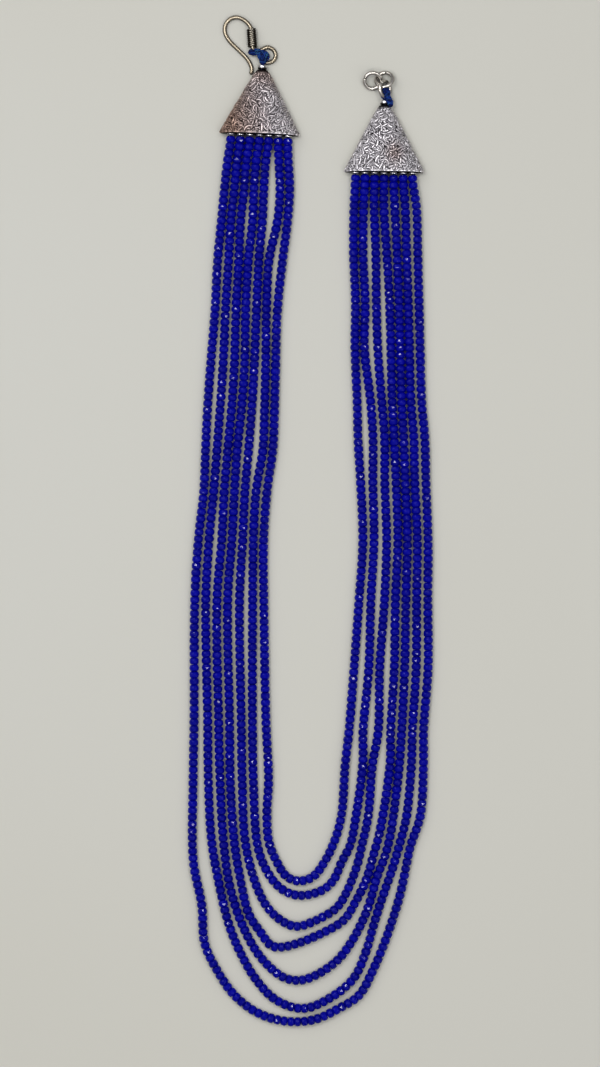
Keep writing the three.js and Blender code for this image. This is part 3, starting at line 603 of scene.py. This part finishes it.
def cap_mesh(end, chance):
    """A cap in its own frame, with how far each point stands out in the cast relief and how brown and dark
    it is.
    """
    length = end["length"]
    heights = np.concatenate([np.linspace(0, RIM_WIDTH, RIM_ROWS, endpoint=False),
                              np.linspace(RIM_WIDTH, length, FRONT_ROWS - RIM_ROWS)])
    rows, arounds = zip(*[cap_row(length, y, 0.0) for y in heights])
    shell = np.array(rows)
    front = shell[:, :FRONT_COLUMNS]
    around = np.array(arounds)
    along = np.repeat(heights[:, None], FRONT_COLUMNS, 1)
    out = np.cross(np.gradient(front, axis=0), np.gradient(front, axis=1))
    out /= np.linalg.norm(out, axis=2)[:, :, None]
    relief = stroke_relief(around, along, chance)
    low = np.clip((front[:, :, 2] - RELIEF_FOOT) / RELIEF_FADE, 0, 1)
    body = np.clip((along - RIM_INNER_SHARE * RIM_WIDTH) / RIM_FADE, 0, 1)
    body = body * np.clip((length - along - POINT_MARGIN) / POINT_FADE, 0, 1)
    # Two waves out of step, so that the rim's lumps come out uneven
    waves = np.cos(2 * math.pi * around / RIM_LUMP) + np.cos(4.1 * math.pi * around / RIM_LUMP / 3 + 1)
    lumps = 0.5 + 0.3 * waves
    crest = np.sin(math.pi * np.clip(along / RIM_WIDTH, 0, 1)) ** 0.5
    rim = crest * (0.2 + 0.8 * lumps)
    lift = relief * body * low * STROKE_HEIGHT + rim * low * RIM_HEIGHT
    shell[:, :FRONT_COLUMNS] += out * lift[:, :, None]
    inner = np.array([cap_row(length, y, CAP_WALL)[0] for y in np.linspace(length, 0, INNER_ROWS)])
    rows = np.concatenate([shell, inner])
    bright = np.zeros(rows.shape[:2])
    edge = crest * (0.35 + 0.9 * lumps)
    bright[:len(heights), :FRONT_COLUMNS] = np.clip(relief * body + (1 - body) * edge, 0, 1)
    bright[:len(heights), FRONT_COLUMNS:] = BACK_BRIGHTNESS
    # Painted reflection and shade on the left cap, most on its outer side and point; the right cap is brown
    # in one patch
    if end is LEFT_END:
        side, share = rows[:, :, 0] / MOUTH_HALF_WIDTH, rows[:, :, 1] / length
        outer, point = 0.4 - side - share * 0.3, (share - 0.6) / 0.5
        darkening = 0.15 + 0.85 * np.clip(np.maximum(outer, point), 0, 1)
    else:
        away_x = (rows[:, :, 0] - BROWN_PATCH_MIDDLE[0]) / BROWN_PATCH_SPREAD[0]
        away_y = (rows[:, :, 1] - BROWN_PATCH_MIDDLE[1]) / BROWN_PATCH_SPREAD[1]
        darkening = BROWN_PATCH_DEPTH * np.exp(-(away_x ** 2 + away_y ** 2))
    count = rows.shape[1]
    faces = [face for row in range(len(rows))
             for face in band(row * count, (row + 1) % len(rows) * count, count)]
    return rows.reshape(-1, 3), faces, {"cast_relief": bright.ravel(), "cast_browning": darkening.ravel()}


# Cast silver: bright on the strokes, blackened between them, and browned by a second mask
cast, nodes, links, shader = new_finish("cast_silver")
shader.inputs["Metallic"].default_value = 1.0
relief = stored(nodes, "cast_relief")
depth = shades(nodes, links, relief,
               (0, (0.012, 0.010, 0.010)), (0.35, (0.42, 0.402, 0.427)), (0.85, (1.0, 0.965, 1.0)))
# The second mask is painted reflection and shade on the left cap, and a brown patch on the right one
darkening = shades(nodes, links, stored(nodes, "cast_browning"),
              (0, (1, 1, 1)), (0.35, (0.76, 0.705, 0.69)), (1, (0.52, 0.37, 0.29)))
patina = shades(nodes, links, cloudy(nodes, 160), (0.35, (0.80, 0.78, 0.76)), (0.65, (1, 1, 1)))
links.new(times(nodes, links, times(nodes, links, depth, darkening), patina), shader.inputs["Base Color"])
dull = nodes.new("ShaderNodeMapRange")
dull.inputs["To Min"].default_value = 0.7
dull.inputs["To Max"].default_value = 0.27
links.new(relief, dull.inputs["Value"])
links.new(dull.outputs["Result"], shader.inputs["Roughness"])
pits = nodes.new("ShaderNodeBump")
pits.inputs["Strength"].default_value = 0.25
pits.inputs["Distance"].default_value = 0.00008
links.new(cloudy(nodes, 2600), pits.inputs["Height"])
links.new(pits.outputs["Normal"], shader.inputs["Normal"])

for end in (LEFT_END, RIGHT_END):
    points, faces, tones = cap_mesh(end, np.random.default_rng(CAP_SEEDS[end["name"]]))
    cap = make_piece(f"{end['name']}_cap", at_end(end, points), faces, tones)
    dress(cap, cast)
    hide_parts(f"{end['name']}_end_cap")
    threads = []
    for strand in range(STRAND_COUNT):
        offset = (strand - (STRAND_COUNT - 1) / 2) * SPACER_PITCH
        near, inside, far = [offset * share for share in GATHER_SHARES]
        route = [[offset, -STRING_START, SPACER_AXIS], [near, GATHER_REACH, SPACER_AXIS],
                 [inside, end["length"] * GATHER_PLACE, STEM_AXIS + GATHER_RISE],
                 [far, end["length"] - GATHER_REACH, STEM_AXIS]]
        line, heading = smooth_line(at_end(end, route), GATHER_STEP)
        thread = tube(line, heading, GATHERED_THREAD / 2, THREAD_SIDES)
        threads.append((*thread, chance.uniform(*GATHERED_TONES)))
    gathered = make_piece(f"{end['name']}_gathered_threads", *together(threads))
    dress(gathered, thread_finish)

# Hook. One length of round silver wire, bent by hand into an open S for the other end's rings, a straight
# neck, and an eye that the thread holds. A finer wire is wound nine times round the neck. Both carry clouds
# of tarnish and painted shade, dark on their sides and bright on top, the winding only along the crests of
# its turns.

HOOK_WIRE = 1.7 * MM
WRAP_WIRE = 0.8 * MM
WRAP_PITCH = 0.83 * MM
WRAP_TURNS = 9
WRAP_RADIUS = 1.65 * MM
HOOK_STEP = 0.25 * MM
HOOK_SIDES = 20
WRAP_TURN_STEPS = 28
WRAP_SIDES = 12

# Heights of the wire's middle line in millimetres, where it lies on the surface and along the neck
HOOK_LIE = 0.9
NECK_AXIS = 2.06

# The wire's line in the left cap's frame in millimetres, from the far end of its collar, and the share of
# the neck's rise: the tip and the bend, the neck, then the eye
HOOK_BEND = [
    [-4.9, -3.9, 0], [-4.4, -2.0, 0], [-5.1, 0.3, 0], [-6.5, 2.5, 0], [-8.7, 4.7, 0],
    [-11.4, 7.1, 0], [-14.1, 9.6, 0], [-15.8, 12.0, 0], [-16.5, 14.4, 0], [-16.1, 16.9, 0],
    [-14.5, 18.9, 0.1], [-11.8, 19.8, 0.25], [-9.0, 19.0, 0.6], [-6.7, 17.2, 0.9],
]
HOOK_NECK = [[-5.3, 14.9, 1], [-4.9, 11.25, 1], [-4.5, 7.6, 1]]
HOOK_EYE = [
    [-3.8, 5.9, 0.9], [-2.3, 5.4, 0.7], [-0.7, 6.6, 0.5], [1.9, 7.8, 0.25], [4.3, 6.8, 0.05],
    [5.4, 4.5, 0], [4.5, 2.3, 0], [2.2, 1.3, 0], [-0.3, 1.9, 0], [-1.2, 3.2, 0],
]


def beyond_collar(end, points):
    """Points in millimetres in a cap's frame, measured on from the far end of its collar."""
    return at_end(end, np.asarray(points, dtype=float) * MM, 0, end["length"] + COLLAR_GAP + COLLAR_LENGTH)


def hook_points(rows):
    """Points of the hook's middle line, from rows of x, y and the share of the neck's rise."""
    return beyond_collar(LEFT_END, [[x, y, HOOK_LIE + rise * (NECK_AXIS - HOOK_LIE)] for x, y, rise in rows])


def round_ends(line, wire):
    """The bar's radius along its line, drawn in at both ends so that they end in a rounded nub."""
    run = np.concatenate([[0], np.cumsum(np.linalg.norm(np.diff(line, axis=0), axis=1))])
    near = np.minimum(run, run[-1] - run) / (wire / 2)
    return wire / 2 * np.sqrt(np.clip(1 - (1 - np.clip(near, 0, 1)) ** 2, 0.02, 1))


# The hook carries painted shade: dark at its sides, bright on top
hook_silver = tarnished_wire_with_painted_shade("hook_silver", 0.3, 0.88, (0.026, 0.020, 0.013), (0.40, 0.345, 0.26), 0.3)
hook_line, hook_heading = smooth_line(hook_points(HOOK_BEND + HOOK_NECK + HOOK_EYE), HOOK_STEP)
points, faces = tube(hook_line, hook_heading, round_ends(hook_line, HOOK_WIRE), HOOK_SIDES)
hook = make_piece("hook_wire", points, faces, {})
dress(hook, hook_silver)
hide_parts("hook")

neck_top, neck_bottom = hook_points(HOOK_NECK)[[0, -1]]
down = (neck_bottom - neck_top) / np.linalg.norm(neck_bottom - neck_top)
wound_side = np.cross([0, 0, 1], down)
wound_up = np.cross(down, wound_side)
share = np.linspace(0, 1, WRAP_TURNS * WRAP_TURN_STEPS)[:, None]
angle = share * WRAP_TURNS * 2 * math.pi
start = (np.linalg.norm(neck_bottom - neck_top) - WRAP_PITCH * WRAP_TURNS) / 2
wound = neck_top + down * (start + WRAP_PITCH * WRAP_TURNS * share)
wound = wound + WRAP_RADIUS * (wound_side * np.cos(angle) + wound_up * np.sin(angle))
points, faces = tube(wound, directions(wound), round_ends(wound, WRAP_WIRE), WRAP_SIDES)
# The winding carries painted shade: bright only along the crests of its turns
winding_silver = tarnished_wire_with_painted_shade("winding_silver", 0.78, 0.99, (0.028, 0.020, 0.014), (0.60, 0.55, 0.46), 0.32)
wrap = make_piece("hook_winding", points, faces, {})
dress(wrap, winding_silver)
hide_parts("hook_wrap")

# Jump rings. Three rings of round silver wire, each bent into a circle with a narrow cut, linked through
# each other and lying on a slant because of it. The thread tie holds the third.

RING_WIRE = 1.55 * MM
RING_CUT = math.radians(7)
RING_STEPS = 72
RING_SIDES = 18
# The middle in the right cap's frame from its collar's far end, and the radius of the wire's centre line, in
# millimetres; in degrees the slope, the heading that it rises to and the place of the cut
JUMP_RINGS = [
    {"middle": (-5.11, 8.34, 2.44), "radius": 3.5, "slope": 26, "rises": 102, "cut": 60},
    {"middle": (-0.26, 8.78, 2.69), "radius": 3.55, "slope": 30, "rises": 291, "cut": 150},
    {"middle": (-0.07, 4.75, 3.98), "radius": 3.2, "slope": 48, "rises": 179, "cut": -40},
]


def ring_line(ring):
    """The ring's wire, from one side of its cut round to the other."""
    place = Matrix.Rotation(RIGHT_END["lean"] + math.radians(ring["rises"]), 3, "Z")
    place = place @ Matrix.Rotation(-math.radians(ring["slope"]), 3, "Y")
    place = place @ Matrix.Rotation(math.radians(ring["cut"]), 3, "Z")
    angle = np.linspace(RING_CUT / 2, 2 * math.pi - RING_CUT / 2, RING_STEPS)
    flat = np.column_stack([np.cos(angle), np.sin(angle), np.zeros_like(angle)]) * ring["radius"] * MM
    return flat @ np.array(place).T + beyond_collar(RIGHT_END, [ring["middle"]])


# The rings carry painted shade: dark at their sides, bright on top
ring_silver = tarnished_wire_with_painted_shade("ring_silver", 0.1, 0.75, (0.055, 0.05, 0.05), (0.80, 0.76, 0.71), 0.26)
for number, ring in enumerate(JUMP_RINGS):
    line = ring_line(ring)
    points, faces = tube(line, directions(line), RING_WIRE / 2, RING_SIDES)
    piece = make_piece(f"ring_{number + 1}", points, faces, {})
    dress(piece, ring_silver)
    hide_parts(f"jump_ring_{number + 1}")

# Thread ties. The gathered threads come out of each cap through the collar, and are wound many times round
# the hook's eye and neck on the left and the third ring on the right, then knotted. It is the strings' own
# blue thread. On the right some turns come back down over the collar's side.

STEM_TUCK = 3.0 * MM
STEM_STEPS = 40
STEM_STRANDS = 6
STEM_TWIST = 7
STEM_SPREAD = 0.45 * MM
STEM_STRAND = 0.5 * MM
STEM_SIDES = 8
STEM_TONES = (0.3, 0.65)
LEFT_STEM_REACH = 2.4 * MM
RIGHT_STEM_REACH = 2.0 * MM
CORE_TONE = 0.25
TIE_THREAD = 0.4 * MM
TIE_SEED = 5
LOOP_STEPS = 40
LOOP_REACH = 0.86
LOOP_LIMIT = 0.93
LOOP_SHIFT = 0.04
LOOP_BULGES = (-0.02, 0.08)
LOOP_TONES = [0.05, 0.35, 0.6, 0.68, 0.95]
LOOP_TONE_ODDS = [0.25, 0.2, 0.25, 0.2, 0.1]
# A direction that no lump's loops turn about, to start each loop square to its own axis
LOOP_START = [0.3, 0.2, 0.9]

# The lumps of wound thread. Each has a middle beyond the collar and half sizes in millimetres, its turn in
# degrees, the axis that its loops turn about, how many they are and how far they stray from the axis.
LEFT_LUMPS = (
    (([0.3, 3.9, 2.7], [2.5, 2.1, 2.2], -22), (0.9, 0.5, 0.1), 30, 0.45),
    (([0.1, 1.9, 2.5], [1.35, 1.6, 1.5], 0), (0.1, 1, 0), 14, 0.15),
    (([-2.0, 5.4, 3.0], [2.0, 1.2, 1.3], -20), (0.9, -0.4, 0), 18, 0.3),
    (([-4.2, 5.3, 2.2], [1.9, 1.25, 1.9], 0), (0.25, 1, 0), 18, 0.25),
)
RIGHT_LUMPS = (
    (([0.1, 3.0, 2.9], [2.0, 2.5, 2.4], 8), (0.5, 0.9, 0.1), 32, 0.4),
    (([2.0, -0.3, 4.2], [1.2, 2.5, 1.0], 17), (0.15, 1, 0), 16, 0.25),
)


def egg_points(end, unit, middle, half_sizes, turn):
    """Points on a unit ball, stretched to half sizes in millimetres, turned, and set beyond the collar."""
    cos, sin = math.cos(math.radians(turn)), math.sin(math.radians(turn))
    spin = np.array([[cos, -sin, 0], [sin, cos, 0], [0, 0, 1]])
    return beyond_collar(end, (unit * np.array(half_sizes)) @ spin.T + np.array(middle))


def core(end, middle, half_sizes, turn, rings=18, sides=28):
    """An egg-shaped core of thread under the windings."""
    polar = np.linspace(0, math.pi, rings)[1:-1, None]
    around = np.arange(sides)[None] * 2 * math.pi / sides
    unit = np.stack([np.sin(polar) * np.cos(around), np.sin(polar) * np.sin(around),
                     np.cos(polar) + 0 * around], axis=2)
    unit = np.vstack([unit.reshape(-1, 3), [[0, 0, 1], [0, 0, -1]]])
    here, after = np.arange(sides), (np.arange(sides) + 1) % sides
    faces = [face for row in range(rings - 3) for face in band((row + 1) * sides, row * sides, sides)]
    last = (rings - 3) * sides
    faces += [[int(a), int(b), last + sides] for a, b in zip(here, after)]
    faces += [[int(b) + last, int(a) + last, last + sides + 1] for a, b in zip(here, after)]
    return egg_points(end, unit, middle, half_sizes, turn), faces, CORE_TONE


def windings(end, middle, half_sizes, turn, axis, count, spread, chance):
    """Loops of thread wound over an egg shape, most of them square to one axis, each of its own tone."""
    loops = []
    for number in range(count):
        way = np.array(axis) + chance.normal(0, spread, 3)
        way /= np.linalg.norm(way)
        side = np.cross(way, LOOP_START)
        side /= np.linalg.norm(side)
        up = np.cross(way, side)
        shift = -LOOP_REACH + 2 * LOOP_REACH * (number + 0.5) / count + chance.normal(0, LOOP_SHIFT)
        shift = min(LOOP_LIMIT, max(-LOOP_LIMIT, shift))
        angle = np.linspace(0, 2 * math.pi, LOOP_STEPS, endpoint=False)[:, None]
        bulge = 1 + chance.uniform(*LOOP_BULGES)
        unit = way * shift + math.sqrt(1 - shift ** 2) * (side * np.cos(angle) + up * np.sin(angle)) * bulge
        line = egg_points(end, unit, middle, half_sizes, turn)
        tone = chance.choice(LOOP_TONES, p=LOOP_TONE_ODDS)
        loop = tube(line, directions(line, closed=True), TIE_THREAD / 2, THREAD_SIDES, closed=True)
        loops.append((*loop, tone))
    return loops


def stem(end, reach, chance):
    """The gathered threads as a loose rope, from inside the cap through the collar."""
    share = np.linspace(0, 1, STEM_STEPS)
    run = end["length"] - STEM_TUCK + share * (STEM_TUCK + COLLAR_GAP + COLLAR_LENGTH + reach)
    strands = []
    for number in range(STEM_STRANDS):
        phase = number * 2 * math.pi / STEM_STRANDS + share * STEM_TWIST
        line = [STEM_SPREAD * np.cos(phase), run, STEM_AXIS + STEM_SPREAD * np.sin(phase)]
        line = at_end(end, np.column_stack(line))
        strand = tube(line, directions(line), STEM_STRAND / 2, STEM_SIDES)
        strands.append((*strand, chance.uniform(*STEM_TONES)))
    return strands


chance = np.random.default_rng(TIE_SEED)
parts = stem(LEFT_END, LEFT_STEM_REACH, chance)
for egg, axis, count, spread in LEFT_LUMPS:
    parts += [core(LEFT_END, *egg)] + windings(LEFT_END, *egg, axis, count, spread, chance)
tie = make_piece("left_tie", *together(parts))
dress(tie, thread_finish)
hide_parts("left_thread_tie")

parts = stem(RIGHT_END, RIGHT_STEM_REACH, chance)
for egg, axis, count, spread in RIGHT_LUMPS:
    parts += [core(RIGHT_END, *egg)] + windings(RIGHT_END, *egg, axis, count, spread, chance)
tie = make_piece("right_tie", *together(parts))
dress(tie, thread_finish)
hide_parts("right_thread_tie")

# Surface, light and camera. The necklace lies on a plain pale cloth in soft light from the upper left, seen
# from straight above. Four small lamps make the few sparkles on the cut glass.

VIEW_HEIGHT = 448.9 * MM
VIEW_MIDDLE = (-4.33 * MM, -5.57 * MM)
CAMERA_HEIGHT = 1.6
FILM_HEIGHT = 36.0
FLOOR_HALF_WIDTH = 3
FLOOR_TOP = -0.00003

# Each light's name, its place in metres, its width in metres and its power in watts
LIGHTS = (
    ("window", (-0.7, 0.6, 1.3), 1.3, 7.6), ("fill", (0.9, -0.5, 1.1), 1.0, 2.1),
    ("lamp_1", (-0.35, 0.3, 1.2), 0.13, 2.5), ("lamp_2", (0.4, -0.2, 1.25), 0.13, 2.1),
    ("lamp_3", (0.25, 0.45, 1.3), 0.13, 2.0), ("lamp_4", (-0.3, -0.4, 1.2), 0.13, 2.0),
)

sheet = bpy.data.meshes.new("surface")
corners = ((-1, -1), (1, -1), (1, 1), (-1, 1))
corners = [(x * FLOOR_HALF_WIDTH, y * FLOOR_HALF_WIDTH, FLOOR_TOP) for x, y in corners]
sheet.from_pydata(corners, [], [(0, 1, 2, 3)])
floor = bpy.data.objects.new("surface", sheet)
bpy.context.scene.collection.objects.link(floor)
cloth, nodes, links, shader = new_finish("pale_cloth")
shader.inputs["Roughness"].default_value = 0.9
links.new(shades(nodes, links, cloudy(nodes, 9), (0.3, (0.565, 0.548, 0.478)), (0.7, (0.592, 0.584, 0.532))),
          shader.inputs["Base Color"])
floor.data.materials.append(cloth)

# The room is bright overhead and dark at its walls, which the metal shows
world = bpy.data.worlds.new("room")
bpy.context.scene.world = world
world.use_nodes = True
nodes, links = world.node_tree.nodes, world.node_tree.links
way = nodes.new("ShaderNodeTexCoord")
height = nodes.new("ShaderNodeSeparateXYZ")
links.new(way.outputs["Generated"], height.inputs["Vector"])
room = shades(nodes, links, height.outputs["Z"],
              (0, (0.11, 0.11, 0.12)), (0.5, (0.52, 0.54, 0.60)), (1, (0.93, 0.95, 1.0)))
links.new(room, nodes["Background"].inputs["Color"])
nodes["Background"].inputs["Strength"].default_value = 0.46

for name, place, size, power in LIGHTS:
    light = bpy.data.lights.new(name, "AREA")
    light.size = size
    light.energy = power
    lamp = bpy.data.objects.new(name, light)
    lamp.location = place
    lamp.rotation_euler = (-Vector(place)).to_track_quat("-Z", "Y").to_euler()
    bpy.context.scene.collection.objects.link(lamp)

view = bpy.data.cameras.new("view")
view.sensor_fit = "VERTICAL"
view.sensor_height = FILM_HEIGHT
view.lens = FILM_HEIGHT * CAMERA_HEIGHT / VIEW_HEIGHT
view.clip_end = 20
camera = bpy.data.objects.new("view", view)
camera.location = (*VIEW_MIDDLE, CAMERA_HEIGHT)
camera.rotation_euler = (0, 0, 0)
bpy.context.scene.collection.objects.link(camera)
bpy.context.scene.camera = camera
bpy.context.scene.view_settings.view_transform = "Standard"
